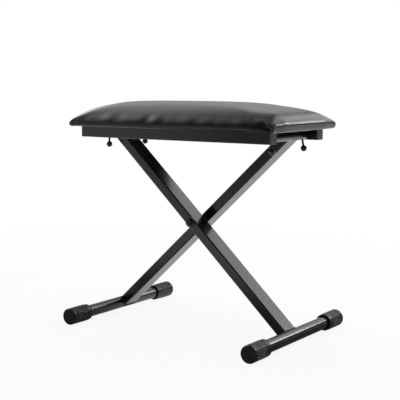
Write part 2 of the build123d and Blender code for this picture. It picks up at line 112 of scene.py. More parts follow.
HEM_RAIL_GAP = 1 * MM
PAD_SLACK = 3 * MM
SWELL_CAP = 5 * MM
SWELL_FRAMES = 20
SMALLEST_MOVE = 1e-9
PRESSURE = 4.0
EASING_PASSES = 24
WRINKLE_SHARE = 0.15

# Folds of the cover
FOLD_REACH = 80 * MM
CREASE_FOOT = 5 * MM
CREASE_SLANT = 0.75
CREASE_TOP = 25 * MM
HOLLOW_DEPTH = 9 * MM
HOLLOW_WIDTH = 9 * MM
HOLLOW_FULL = 8 * MM
HOLLOW_FOOT = -6 * MM
LIP_RISE = 4.5 * MM
LIP_WIDTH = 11 * MM
LIP_FLANK = 3 * MM
LIP_TOP = 32 * MM
LIP_ENDWAYS = 0.6
LIP_SIDEWAYS = 0.8
# How deep the fold is at each corner, by its end and side
FOLD_SHARES = {(1, -1): 1.0, (-1, -1): 0.25, (1, 1): 0.7, (-1, 1): 0.8}
END_PUSH = 2.5 * MM
END_PUFF = 10 * MM
PUFF_START = 6 * MM
PUFF_BLEND = 26 * MM
PUFF_STOP = 52 * MM
PUFF_FADE = 17 * MM
PUFF_CORNER = 60 * MM
LEFT_PUFF = 0.25
END_SAG = 0.8 * MM
SAG_REACH = 20 * MM
SAG_TOP = 8 * MM
# Dents: place along the seat, width and depth. Ripples: depth, wave length and phase. In millimetres.
DENTS = ((-7, 14, 0.5), (-47, 13, 0.9), (24, 15, 0.7), (-120, 20, 0.5), (110, 24, 0.6))
DENT_FOOT = 8 * MM
DENT_TOP = 36 * MM
RIPPLES = ((0.3, 71.0, 0.7), (0.24, 44.61, 2.1))

# Dust cover and its staples
DUST_LOW, DUST_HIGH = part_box("dust_cover")
DUST_SAG = 2.5 * MM
DUST_PUCKER = 0.5 * MM
DUST_THICKNESS = 0.4 * MM
DUST_CELLS = (110, 44)
SAG_POWER = 4
PUCKER_POWER = 8
STAPLE_PITCH = 38 * MM
STAPLE_MARGIN = 7 * MM
STAPLE_CROWN = 10 * MM
STAPLE_WIRE = 0.6 * MM

# Weld beads
FOOT_BEAD = 1.9 * MM
BAR_BEAD = 1.4 * MM
BEAD_STEP = 0.5 * MM
BEAD_SIDES = 10
WELD_STEPS = 25
CORNER_STEPS = 6
RIPPLE_PITCH = 2.4 * MM
RIPPLE_SHARE = 0.14
LEVER_ROOM = 5 * MM

# Lock springs
SPRING_WIRE = 0.6 * MM
SPRING_TURNS = 8
TURN_STEPS = 24
LOCK_BODIES = {
    "left_front": "front_leg",
    "left_rear": "front_leg",
    "right_front": "rear_leg",
    "right_rear": "rear_leg",
}

# Studio: stops are pairs of place and brightness, and a way is a direction to the right and to the rear
FLOOR_RADIUS = 2.1
FLOOR_SEGMENTS = 96
FLOOR_GREY = 0.9
# Seen in reflections the floor glows and is painted: painted shade just in front of the bench, painted
# light further in front and behind it.
FLOOR_PAINTED_GLOW = 0.7
FLOOR_FRONT_SHADE_STOPS = ((0.19, 0.85), (0.32, 0.12))
FLOOR_REAR_WAY = (-0.6, 0.8)
FLOOR_REAR_LIGHT_STOPS = ((0.51, 0.12), (0.61, 1.2))
SHADOW_RADIUS = 0.75
SHADOW_SHARE = 0.1
SHADOW_STOPS = ((0.0, 1.0), (0.8, 0.0))
CEILING_WAY = (-0.96, 0.27)
CEILING_STOPS = ((0.73, 0.06), (0.82, 1.05))
LEFT_STOPS = ((0.83, 0.0), (0.87, 1.0))
LEFT_REAR_STOPS = ((0.45, 0.0), (0.55, 1.0))
LEFT_GLOW = 2.5
WALL_WAY = (-1.0, 0.25)
WALL_STOPS = ((0.36, 0.26), (0.665, 0.12), (0.7, 0.5), (0.72, 0.72), (0.75, 0.65), (0.89, 0.5))
LOW_STOPS = ((0.45, 1.0), (0.5, 0.0))
LOW_REAR_STOPS = ((0.5, 0.0), (0.7, 1.0))
LOW_GLOW = 1.1
WALL_TOP_STOPS = ((0.12, 0.0), (0.46, 1.0))
LIGHT_AIM = (0, 0, 0.3)


class Term:
    """A socket in a node tree. Arithmetic on it adds Math nodes."""

    def __init__(self, finish, socket):
        self.finish = finish
        self.socket = socket

    def math(self, operation, first, second=0.0):
        return self.finish.node("ShaderNodeMath", {"operation": operation}, {0: first, 1: second})

    def __add__(self, other):
        return self.math("ADD", self, other)

    def __radd__(self, other):
        return self.math("ADD", other, self)

    def __sub__(self, other):
        return self.math("SUBTRACT", self, other)

    def __rsub__(self, other):
        return self.math("SUBTRACT", other, self)

    def __mul__(self, other):
        return self.math("MULTIPLY", self, other)

    def __rmul__(self, other):
        return self.math("MULTIPLY", other, self)

    def __truediv__(self, other):
        return self.math("DIVIDE", self, other)

    def __rtruediv__(self, other):
        return self.math("DIVIDE", other, self)

    def larger(self, other):
        return self.math("MAXIMUM", self, other)

    def clamp(self):
        return self.finish.node("ShaderNodeClamp", {}, {"Value": self})


class Finish:
    """A node tree under construction: a material's, the world's or a grown piece's."""

    def __init__(self, tree):
        self.tree = tree
        tree.nodes.clear()

    def socket(self, sockets, key):
        if isinstance(key, int):
            return sockets[key]
        return next(s for s in sockets if key in (s.identifier, s.name))

    def node(self, kind, settings=None, inputs=None, output=0):
        """Add a node: its settings first, then the values or links of its sockets."""
        made = self.tree.nodes.new(kind)
        for name, value in (settings or {}).items():
            if name == "stops":
                self.set_stops(made.color_ramp, value)
            else:
                setattr(made, name, value)
        for key, value in (inputs or {}).items():
            target = self.socket(made.inputs, key)
            if isinstance(value, Term):
                self.tree.links.new(value.socket, target)
            else:
                target.default_value = value
        if not made.outputs:
            return made
        return Term(self, self.socket(made.outputs, output))

    def set_stops(self, ramp, stops):
        while len(ramp.elements) < len(stops):
            ramp.elements.new(1.0)
        for element, (place, level) in zip(ramp.elements, stops):
            element.position = place
            element.color = (level, level, level, 1.0)

    def coordinates(self):
        return self.node("ShaderNodeTexCoord", output="Object")

    def noise(self, scale, detail=3.0, roughness=0.5, vector=None):
        inputs = {"Scale": scale, "Detail": detail, "Roughness": roughness}
        inputs["Vector"] = vector or self.coordinates()
        return self.node("ShaderNodeTexNoise", {}, inputs)

    def cells(self, scale, feature, vector=None):
        inputs = {"Scale": scale, "Vector": vector or self.coordinates()}
        return self.node("ShaderNodeTexVoronoi", {"feature": feature}, inputs)

    def ramp(self, factor, *stops):
        return self.node("ShaderNodeValToRGB", {"stops": stops}, {"Fac": factor})

    def blend(self, factor, first, second):
        """Mix two colours."""
        inputs = {"Factor_Float": factor, "A_Color": first, "B_Color": second}
        return self.node("ShaderNodeMix", {"data_type": "RGBA"}, inputs, "Result_Color")

    def bump(self, height, strength, distance):
        inputs = {"Height": height, "Strength": strength, "Distance": distance}
        return self.node("ShaderNodeBump", {}, inputs)

    def surface(self, **inputs):
        """The material's shader and output. Socket names are written with _ for a space."""
        named = {name.replace("_", " "): value for name, value in inputs.items()}
        shader = self.node("ShaderNodeBsdfPrincipled", {}, named)
        self.node("ShaderNodeOutputMaterial", {}, {"Surface": shader})


def new_finish(name):
    material = bpy.data.materials.new(name)
    material.use_nodes = True
    return material, Finish(material.node_tree)


def grey(level, tint=0.0):
    return (level, level, level * (1 + tint), 1.0)


def black_vinyl():
    """Satin upholstery vinyl with a fine pressed grain."""
    material, f = new_finish("black_vinyl")
    patches = f.noise(14.0, 2.0)
    pebbles = f.cells(820.0, "DISTANCE_TO_EDGE")
    pores = f.noise(1500.0, 2.0)
    handling = f.noise(45.0, 4.0)
    colour = f.blend(patches, grey(0.004, 0.03), grey(0.009, 0.02))
    roughness = 0.21 + 0.06 * handling + 0.05 * patches
    grain = f.ramp(pebbles, (0.0, 0.0), (0.16, 1.0)) * 0.7 + 0.3 * pores
    f.surface(
        Base_Color=colour,
        Roughness=roughness,
        IOR=1.5,
        Normal=f.bump(grain, 0.02, 0.1 * MM),
    )
    return material


def frame_paint():
    """Semi-gloss black powder coat: slight orange peel and a few paler specks."""
    material, f = new_finish("frame_paint")
    drift = f.noise(18.0, 2.0)
    peel = f.noise(620.0, 2.0, 0.4)
    specks = f.cells(420.0, "F1")
    dust = f.ramp(specks, (0.0, 1.0), (0.09, 0.0)) * f.ramp(f.noise(60.0), (0.52, 0.0), (0.62, 1.0))
    colour = f.blend(drift, grey(0.007, 0.02), grey(0.013, 0.02))
    colour = f.blend(dust * 0.07, colour, grey(0.07))
    roughness = 0.15 + 0.05 * drift + 0.08 * dust + 0.03 * peel
    f.surface(
        Base_Color=colour,
        Roughness=roughness,
        IOR=1.58,
        Normal=f.bump(peel, 0.012, 0.1 * MM),
    )
    return material


def cap_rubber():
    """Matt moulded rubber, a little dusty where it is handled."""
    material, f = new_finish("cap_rubber")
    bloom = f.noise(55.0, 4.0)
    skin = f.noise(1300.0, 3.0, 0.6)
    colour = f.blend(f.ramp(bloom, (0.35, 0.0), (0.75, 1.0)), grey(0.014), grey(0.024))
    roughness = 0.27 + 0.12 * bloom
    f.surface(
        Base_Color=colour,
        Roughness=roughness,
        IOR=1.4,
        Normal=f.bump(skin, 0.06, 0.1 * MM),
    )
    return material


def moulded_plastic():
    """Black nylon with a fine spark-eroded texture."""
    material, f = new_finish("moulded_plastic")
    texture = f.cells(1700.0, "SMOOTH_F1")
    haze = f.noise(90.0, 3.0)
    colour = f.blend(haze, grey(0.022), grey(0.04))
    f.surface(
        Base_Color=colour,
        Roughness=0.34 + 0.1 * haze,
        IOR=1.5,
        Normal=f.bump(texture, 0.16, 0.08 * MM),
    )
    return material


def polished_ball():
    """Polished black phenolic, with faint handling marks."""
    material, f = new_finish("polished_ball")
    marks = f.noise(380.0, 5.0, 0.65)
    colour = f.blend(marks, grey(0.008), grey(0.016))
    f.surface(
        Base_Color=colour,
        Roughness=f.ramp(marks, (0.4, 0.12), (0.75, 0.3)),
        IOR=1.55,
        Normal=f.bump(marks, 0.03, 0.05 * MM),
    )
    return material


def steel(name, dark, bright, smooth, rough):
    """Plated or oxidised steel, with fine turning marks and stains."""
    material, f = new_finish(name)
    stains = f.noise(150.0, 5.0, 0.6)
    turning = f.node("ShaderNodeMapping", {}, {"Vector": f.coordinates(), "Scale": (1.0, 9.0, 1.0)})
    marks = f.noise(700.0, 3.0, 0.6, turning)
    colour = f.blend(f.ramp(stains, (0.3, 0.0), (0.7, 1.0)), dark, bright)
    f.surface(
        Base_Color=colour,
        Metallic=0.92,
        Roughness=smooth + (rough - smooth) * (0.6 * stains + 0.4 * marks),
        Normal=f.bump(marks, 0.08, 0.05 * MM),
    )
    return material


def stained_plywood():
    """Black-stained plywood: long grain on the faces and thin plies on the edges."""
    material, f = new_finish("stained_plywood")
    along = f.node("ShaderNodeMapping", {}, {"Vector": f.coordinates(), "Scale": (1.0, 14.0, 1.0)})
    figure = f.noise(22.0, 6.0, 0.6, along)
    upright = f.node("ShaderNodeSeparateXYZ", {}, {"Vector": f.coordinates()}, "Z")
    plies = f.node("ShaderNodeMath", {"operation": "SINE"}, {0: upright * (2 * pi / (3 * MM))})
    tone = 0.65 * figure + 0.18 * plies + 0.1
    colour = f.blend(tone.clamp(), (0.034, 0.027, 0.022, 1.0), (0.014, 0.012, 0.01, 1.0))
    f.surface(
        Base_Color=colour,
        Roughness=0.6 + 0.2 * figure,
        Normal=f.bump(figure, 0.25, 0.2 * MM),
    )
    return material


def dust_cloth():
    """Thin black spun-bonded cloth with a grid of pressed dots."""
    material, f = new_finish("dust_cloth")
    dots = f.cells(520.0, "F1")
    fibres = f.noise(2600.0, 4.0, 0.7)
    press = f.ramp(dots, (0.18, 0.0), (0.34, 1.0))
    colour = f.blend(fibres, grey(0.014), grey(0.034))
    f.surface(
        Base_Color=colour,
        Roughness=0.78 + 0.15 * fibres,
        Normal=f.bump(press * 0.6 + 0.4 * fibres, 0.35, 0.15 * MM),
    )
    return material


def add_piece(name, mesh, material):
    """Link a finished mesh as one smooth-shaded piece."""
    piece = bpy.data.objects.new(name, mesh)
    bpy.context.scene.collection.objects.link(piece)
    mesh.materials.clear()
    mesh.materials.append(material)
    mesh.shade_smooth()
    return piece


def frozen(piece):
    """The piece's evaluated shape as a plain mesh."""
    depsgraph = bpy.context.evaluated_depsgraph_get()
    return bpy.data.meshes.new_from_object(piece.evaluated_get(depsgraph))


def ring_point(half_x, half_y, corner, side, share):
    """A point on a rounded rectangle: sides 0 to 3 run from corner to corner, from the front left."""
    along, across = (half_x, half_y) if side % 2 == 0 else (half_y, half_x)
    straight = along - corner
    eighth = corner * pi / 4
    place = share * 2 * (straight + eighth)
    if place < eighth:
        turn = pi / 4 - place / corner
        u = -straight - corner * sin(turn)
        v = across - corner + corner * cos(turn)
    elif place > eighth + 2 * straight and corner > 0:
        turn = (place - eighth - 2 * straight) / corner
        u = straight + corner * sin(turn)
        v = across - corner + corner * cos(turn)
    else:
        u = place - eighth - straight
        draw = SIDE_DRAW * straight / (HALF_LENGTH if side % 2 == 0 else HALF_WIDTH)
        v = across - draw * (1 - (u / straight) ** 2) if straight > 0 else across
    return [(u, -v), (v, u), (-u, v), (-v, -u)][side]


def smooth_step(value):
    value = np.clip(value, 0, 1)
    return value * value * (3 - 2 * value)


def widest_height(x):
    """Height of the cushion's widest line, which is lower at the left end."""
    return LEFT_WIDEST + (RIGHT_WIDEST - LEFT_WIDEST) * (x + HALF_LENGTH) / (2 * HALF_LENGTH)


def crown_height(x):
    """Height of the crown along the seat, which falls away towards the right end."""
    return CUSHION_RISE * (1 - CROWN_FALL * max(0, (x - FALL_START) / (HALF_LENGTH - FALL_START)) ** 2)


def crown_share(step):
    """How far up the crown a level is, from its share of the way in."""
    return (1 - (1 - step) ** CROWN_EDGE_POWER) ** (1 / CROWN_RISE_POWER)


def crown_steps():
    """Shares of the way in of the crown's rings, evenly spaced along its section."""
    step = np.linspace(0, 1, SECTION_SAMPLES) ** 3
    height = CUSHION_RISE * crown_share(step)
    length = np.concatenate([[0], np.cumsum(np.hypot(np.diff(step * SIDE_REACH), np.diff(height)))])
    return np.interp(np.linspace(0, length[-1], CROWN_RINGS + 1), length, step)


def crown_ring(step, kept):
    """Middle, half sizes and corner of one ring of the crown, or of a kept share of its last ring."""
    half_y = HALF_WIDTH - step * SIDE_REACH
    half_x = HALF_LENGTH - step * (LEFT_REACH + RIGHT_REACH) / 2
    middle = step * (LEFT_REACH - RIGHT_REACH) / 2
    corner = EDGE_CORNER + (CROWN_CORNER - EDGE_CORNER) * min(1, 2 * step)
    limit = CORNER_LIMIT * half_y
    corner = (corner**-CORNER_BLEND + limit**-CORNER_BLEND) ** (-1 / CORNER_BLEND)
    return middle, half_x - half_y * (1 - kept), half_y * kept, corner * kept


def grid_place(i, j):
    """Ring, side and share along that side of one vertex of the cushion's top."""
    ring = min(i, LONG_CELLS - i, j, SHORT_CELLS - j)
    long_count = LONG_CELLS - 2 * ring
    short_count = SHORT_CELLS - 2 * ring
    if j == ring:
        return ring, 0, (i - ring) / long_count
    if i == LONG_CELLS - ring:
        return ring, 1, (j - ring) / short_count
    if j == SHORT_CELLS - ring:
        return ring, 2, (LONG_CELLS - ring - i) / long_count
    return ring, 3, (SHORT_CELLS - ring - j) / short_count


def cushion_top(bm):
    """The crown, as a grid of quads whose rings follow the cushion's outline."""
    steps = crown_steps()
    inner = SHORT_CELLS // 2 - CROWN_RINGS
    grid = []
    for i in range(LONG_CELLS + 1):
        row = []
        for j in range(SHORT_CELLS + 1):
            ring, side, share = grid_place(i, j)
            level = min(ring, CROWN_RINGS)
            step = steps[level]
            middle, half_x, half_y, corner = crown_ring(step, 1 - (ring - level) / inner)
            slack = PAD_SLACK * smooth_step(ring / SLACK_RINGS)
            flank = slack * (1 - crown_share(step))
            x, y = ring_point(half_x - flank, half_y - min(flank, half_y), min(corner, half_y), side, share)
            x += middle
            low = widest_height(x)
            z = low + (crown_height(x) - low) * crown_share(step) - slack
            row.append(bm.verts.new((SEAT_X + x, y, SEAT_BASE + z)))
        grid.append(row)
    for i in range(LONG_CELLS):
        for j in range(SHORT_CELLS):
            bm.faces.new((grid[i][j], grid[i + 1][j], grid[i + 1][j + 1], grid[i][j + 1]))
    front = [grid[i][0] for i in range(LONG_CELLS)]
    right = [grid[LONG_CELLS][j] for j in range(SHORT_CELLS)]
    rear = [grid[LONG_CELLS - i][SHORT_CELLS] for i in range(LONG_CELLS)]
    left_end = [grid[0][SHORT_CELLS - j] for j in range(SHORT_CELLS)]
    return front + right + rear + left_end


def outline(inset_x, inset_y, corner, drop, rise):
    """One closed ring round the cushion: drop is its share of the way down from the widest line."""
    points = []
    for side in range(4):
        count = LONG_CELLS if side % 2 == 0 else SHORT_CELLS
        for step in range(count):
            x, y = ring_point(HALF_LENGTH - inset_x, HALF_WIDTH - inset_y, corner, side, step / count)
            low = widest_height(x)
            points.append((SEAT_X + x, y, SEAT_BASE + low - (low + HEM_DEPTH) * drop + rise))
    return points


def skirt_levels():
    """Insets along x and y, corner, drop and rise of the rings below the widest line."""
    levels = []
    for step in range(1, TUCK_RINGS + 1):
        turn = pi / 2 * step / TUCK_RINGS
        inset = TUCK * (1 - cos(turn) ** (2 / TUCK_POWER))
        levels.append((inset, inset, EDGE_CORNER, sin(turn) ** (2 / TUCK_POWER), 0))
    hem_x = HALF_LENGTH - (RAIL_HIGH.x - RAIL_LOW.x) / 2 - RAIL_PLUG - HEM_RAIL_GAP
    hem_y = HALF_WIDTH - REAR_RAIL_HIGH.y - HEM_RAIL_GAP
    for step in range(1, HEM_RINGS + 1):
        share = step / HEM_RINGS
        corner = EDGE_CORNER * (1 - (1 - HEM_CORNER) * share)
        levels.append((TUCK + (hem_x - TUCK) * share, TUCK + (hem_y - TUCK) * share, corner, 1, 0))
    levels.append((hem_x, hem_y, EDGE_CORNER * HEM_CORNER, 1, HEM_TURN_UP))
    return levels


def cushion_form():
    """The slack cushion before it is filled, with the weights that hold its hem."""
    bm = bmesh.new()
    held = bm.verts.layers.deform.verify()
    ring = cushion_top(bm)
    for count, level in enumerate(skirt_levels()):
        low = [bm.verts.new(point) for point in outline(*level)]
        for vert in low:
            vert[held][0] = min(1.0, (count + 1) / TUCK_RINGS)
        for n in range(len(ring)):
            after = (n + 1) % len(ring)
            bm.faces.new((ring[n], low[n], low[after], ring[after]))
        ring = low
    bmesh.ops.recalc_face_normals(bm, faces=bm.faces)
    mesh = bpy.data.meshes.new("cushion_form")
    bm.to_mesh(mesh)
    bm.free()
    return mesh


def filled(piece):
    """Blow the slack cover up against its held hem and return its points."""
    piece.vertex_groups.new(name="held")
    cloth = piece.modifiers.new("fill", "CLOTH")
    settings = cloth.settings
    settings.quality = 8
    settings.mass = 0.35
    settings.tension_stiffness = 30
    settings.compression_stiffness = 30
    settings.shear_stiffness = 15
    settings.bending_stiffness = 4
    settings.air_damping = 4
    settings.vertex_group_mass = "held"
    settings.pin_stiffness = 1
    settings.use_pressure = True
    settings.uniform_pressure_force = PRESSURE
    settings.effector_weights.gravity = 0
    cloth.point_cache.frame_start = 1
    cloth.point_cache.frame_end = SWELL_FRAMES
    scene = bpy.context.scene
    for step in range(1, SWELL_FRAMES + 1):
        scene.frame_set(step)
    moved = frozen(piece)
    points = np.array([v.co for v in moved.vertices])
    bpy.data.meshes.remove(moved)
    piece.modifiers.remove(cloth)
    scene.frame_set(1)
    return points


def eased(shift, edges):
    """Even the moves out between neighbouring points, so that only broad wrinkles stay."""
    first, second = edges[:, 0], edges[:, 1]
    count = np.bincount(edges.ravel(), minlength=len(shift))[:, None]
    for _ in range(EASING_PASSES):
        total = np.zeros_like(shift)
        np.add.at(total, first, shift[second])
        np.add.at(total, second, shift[first])
        shift = total / count
    return shift


def swell(piece):
    """Move the cover out as its filling pushes it, by no more than the cap."""
    rest = np.array([v.co for v in piece.data.vertices])
    shift = filled(piece) - rest
    reach = np.linalg.norm(shift, axis=1, keepdims=True)
    shift *= SWELL_CAP * np.tanh(reach / SWELL_CAP) / np.maximum(reach, SMALLEST_MOVE)
    smooth = eased(shift, np.array([edge.vertices for edge in piece.data.edges]))
    moved = rest + smooth + WRINKLE_SHARE * (shift - smooth)
    piece.data.vertices.foreach_set("co", moved.astype(np.float32).ravel())
    piece.data.update()


def subdivided(piece):
    """One level of subdivision, applied."""
    modifier = piece.modifiers.new("rounding", "SUBSURF")
    modifier.levels = 1
    modifier.render_levels = 1
    mesh = frozen(piece)
    piece.modifiers.remove(modifier)
    old = piece.data
    piece.data = mesh
    bpy.data.meshes.remove(old)


def fold_corner(points, end, side):
    """Fold the cover at one corner: a slanting crease, a deep hollow beside it and a lip behind it."""
    from_end = HALF_LENGTH - end * (points[:, 0] - SEAT_X)
    from_side = HALF_WIDTH - side * points[:, 1]
    height = points[:, 2] - SEAT_BASE
    crease = -CREASE_SLANT * np.clip(height - CREASE_FOOT, 0, None)
    across = from_side - from_end - crease
    share = FOLD_SHARES[end, side] * smooth_step(2 - 2 * np.maximum(from_end, from_side) / FOLD_REACH)
    fade = share * smooth_step((CREASE_TOP - height) / (CREASE_TOP - HOLLOW_FULL))
    fade *= smooth_step((height - HOLLOW_FOOT) / (HOLLOW_FULL - HOLLOW_FOOT))
    deep = np.clip(-across / HOLLOW_WIDTH, 0, None)
    hollow = HOLLOW_DEPTH * deep * np.exp(1 - deep) * fade
    flank = np.exp(np.clip(across, None, 0) / LIP_FLANK)
    lip = LIP_RISE * share * np.where(across < 0, flank, np.clip(1 - across / LIP_WIDTH, 0, 1))
    lip *= smooth_step((LIP_TOP - height) / (LIP_TOP - HOLLOW_FULL)) * smooth_step(height / HOLLOW_FULL + 1)
    points[:, 0] += end * lip * LIP_ENDWAYS
    points[:, 1] += side * (lip * LIP_SIDEWAYS - hollow)


def puff_ends(points):
    """Fill the ends out up to a soft shoulder, the right one more, and let their edges hang a little."""
    x = points[:, 0] - SEAT_X
    height = points[:, 2] - SEAT_BASE
    from_side = HALF_WIDTH - np.abs(points[:, 1])
    push = END_PUSH + END_PUFF * smooth_step((height - PUFF_START) / PUFF_BLEND)
    push *= smooth_step((PUFF_STOP - height) / PUFF_FADE) * smooth_step(from_side / PUFF_CORNER)
    near = smooth_step((np.abs(x) - HALF_LENGTH / 2) / (HALF_LENGTH / 4))
    points[:, 0] += np.where(x < 0, -LEFT_PUFF, 1.0) * push * near
    from_end = HALF_LENGTH - np.abs(x)
    sag = smooth_step((SAG_REACH - from_end) / (SAG_REACH / 2)) * smooth_step((SAG_TOP - height) / SAG_TOP)
    points[:, 2] -= END_SAG * sag


def dent_sides(points):
    """Press a few soft dents and long ripples into the front and rear sides."""
    x = points[:, 0] - SEAT_X
    height = points[:, 2] - SEAT_BASE
    from_side = HALF_WIDTH - np.abs(points[:, 1])
    band = smooth_step((height - DENT_FOOT) / DENT_FOOT) * smooth_step((DENT_TOP - height) / (DENT_TOP / 2))
    band *= from_side < DENT_TOP * 2
    inwards = np.zeros_like(x)
    for depth, length, phase in RIPPLES:
        inwards += depth * MM * np.sin(2 * pi * x / (length * MM) + phase)
    for place, width, depth in DENTS:
        inwards += depth * MM * np.exp(-(((x - place * MM) / (width * MM)) ** 2))
    points[:, 1] -= np.sign(points[:, 1]) * inwards * band


def folded(piece):
    """The folds and dents of the finished cover."""
    points = np.array([v.co for v in piece.data.vertices])
    for end in (-1, 1):
        for side in (-1, 1):
            fold_corner(points, end, side)
    puff_ends(points)
    dent_sides(points)
    piece.data.vertices.foreach_set("co", points.astype(np.float32).ravel())
    piece.data.update()


def close_under(piece):
    """Close the cushion where it lies on the board."""
    bm = bmesh.new()
    bm.from_mesh(piece.data)
    rim = [edge for edge in bm.edges if edge.is_boundary]
    bmesh.ops.holes_fill(bm, edges=rim, sides=len(rim))
    bmesh.ops.recalc_face_normals(bm, faces=bm.faces)
    bm.to_mesh(piece.data)
    bm.free()


def seat_cushion(material):
    piece = add_piece("seat_cushion", cushion_form(), material)
    swell(piece)
    subdivided(piece)
    folded(piece)
    close_under(piece)
    piece.data.shade_smooth()
    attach(piece, "seat")
    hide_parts("seat_cover", "seat_foam")


def dust_cover(material):
    """A thin cloth tacked under the board between the rails, sagging a little between its staples."""
    bm = bmesh.new()
    size_x = DUST_HIGH.x - DUST_LOW.x
    size_y = DUST_HIGH.y - DUST_LOW.y
    bmesh.ops.create_grid(bm, x_segments=DUST_CELLS[0], y_segments=DUST_CELLS[1], size=0.5)
    for vert in bm.verts:
        u = vert.co.x * 2
        v = vert.co.y * 2
        x = u * size_x / 2
        y = v * size_y / 2
        sag = DUST_SAG * (1 - u**SAG_POWER) * (1 - v * v)
        pull = abs(sin(pi * x / STAPLE_PITCH)) * v**PUCKER_POWER
        pull += abs(sin(pi * y / STAPLE_PITCH)) * u**PUCKER_POWER
        vert.co = (SEAT_X + x, y, SEAT_BASE - DUST_THICKNESS - sag - DUST_PUCKER * pull)
    mesh = bpy.data.meshes.new("dust_cover_cloth")
    bm.to_mesh(mesh)
    bm.free()
    piece = add_piece("dust_cover_cloth", mesh, material)
    thick = piece.modifiers.new("thickness", "SOLIDIFY")
    thick.thickness = DUST_THICKNESS
    thick.offset = -1
    piece.data = frozen(piece)
    piece.modifiers.remove(thick)
    bpy.data.meshes.remove(mesh)
    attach(piece, "seat")
    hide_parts("dust_cover")


def path_mesh(name, lines, closed):
    """A mesh of edges along some lines of points."""
    mesh = bpy.data.meshes.new(name)
    points = []
    edges = []
    for line in lines:
        first = len(points)
        points += line
        edges += [(first + n, first + n + 1) for n in range(len(line) - 1)]
        if closed:
            edges.append((first + len(line) - 1, first))
    mesh.from_pydata(points, edges, [])
    return mesh


def grown(name, path, material, build, **amounts):
    """Run a tree of geometry nodes along a path and keep what it grows as one piece."""
    tree = bpy.data.node_groups.new(name, "GeometryNodeTree")
    sockets = {"Path": "NodeSocketGeometry", "Finish": "NodeSocketMaterial"}
    sockets.update({key.replace("_", " "): "NodeSocketFloat" for key in amounts})
    made = {}
    for key, kind in sockets.items():
        made[key] = tree.interface.new_socket(key, in_out="INPUT", socket_type=kind)
    tree.interface.new_socket("Grown", in_out="OUTPUT", socket_type="NodeSocketGeometry")
    f = Finish(tree)
    terms = {key: f.node("NodeGroupInput", output=key) for key in sockets}
    shape = f.node("GeometryNodeRealizeInstances", {}, {"Geometry": build(f, terms)})
    shape = f.node("GeometryNodeSetMaterial", {}, {"Geometry": shape, "Material": terms["Finish"]})
    f.node("NodeGroupOutput", {}, {"Grown": shape})
    piece = add_piece(name, path, material)
    modifier = piece.modifiers.new("growth", "NODES")
    modifier.node_group = tree
    modifier[made["Finish"].identifier] = material
    for key, value in amounts.items():
        modifier[made[key.replace("_", " ")].identifier] = value
    piece.data = frozen(piece)
    piece.modifiers.remove(modifier)
    bpy.data.meshes.remove(path)
    piece.data.shade_smooth()
    return piece


def bead(f, terms):
    """A round bead or wire along the path, whose radius swells and sinks in even ripples."""
    curve = f.node("GeometryNodeMeshToCurve", {}, {"Mesh": terms["Path"]})
    inputs = {"Curve": curve, "Length": terms["Step"]}
    curve = f.node("GeometryNodeResampleCurve", {"mode": "LENGTH"}, inputs)
    length = f.node("GeometryNodeSplineParameter", output="Length")
    wave = f.node("ShaderNodeMath", {"operation": "SINE"}, {0: length / terms["Ripple pitch"] * (2 * pi)})
    radius = terms["Bead radius"] * (1 + terms["Ripple share"] * wave)
    section = f.node("GeometryNodeCurvePrimitiveCircle", {}, {"Resolution": BEAD_SIDES, "Radius": 1.0})
    inputs = {"Curve": curve, "Profile Curve": section, "Scale": radius, "Fill Caps": True}
    return f.node("GeometryNodeCurveToMesh", {}, inputs)


def staple_row(f, terms):
    """Wire staples set along the path at an even pitch."""
    curve = f.node("GeometryNodeMeshToCurve", {}, {"Mesh": terms["Path"]})
    inputs = {"Curve": curve, "Length": terms["Pitch"]}
    curve = f.node("GeometryNodeResampleCurve", {"mode": "LENGTH"}, inputs)
    along = f.node("GeometryNodeInputTangent")
    turn = f.node("FunctionNodeAlignRotationToVector", {"axis": "X"}, {"Vector": along})
    size = f.node("ShaderNodeCombineXYZ", {}, {"X": terms["Crown"], "Y": terms["Wire"], "Z": terms["Wire"]})
    wire = f.node("GeometryNodeMeshCube", {}, {"Size": size})
    inputs = {"Points": curve, "Instance": wire, "Rotation": turn}
    return f.node("GeometryNodeInstanceOnPoints", {}, inputs)


def leg_frame(lean):
    """Directions along and across a leg, in the plane of the fold."""
    slope, rise = lean * sin(LEG_LEAN), cos(LEG_LEAN)
    return Vector((slope, 0, rise)), Vector((rise, 0, -slope))


def leg_outline(low_y, high_y):
    """Points round a leg's section: their places across the leg and along y."""
    half = LEG_WIDTH / 2 - LEG_CORNER
    near = low_y + LEG_CORNER
    far = high_y - LEG_CORNER
    corners = [(half, far), (-half, far), (-half, near), (half, near)]
    points = []
    for count, (across, y) in enumerate(corners):
        for step in range(CORNER_STEPS + 1):
            turn = pi / 2 * (count + step / CORNER_STEPS)
            points.append((across + LEG_CORNER * cos(turn), y + LEG_CORNER * sin(turn)))
    closed = points + points[:1]
    fine = []
    for (a, b), (c, d) in zip(closed, closed[1:]):
        count = max(1, round(sqrt((c - a) ** 2 + (d - b) ** 2) / MM))
        fine += [(a + (c - a) * n / count, b + (d - b) * n / count) for n in range(count)]
    return fine


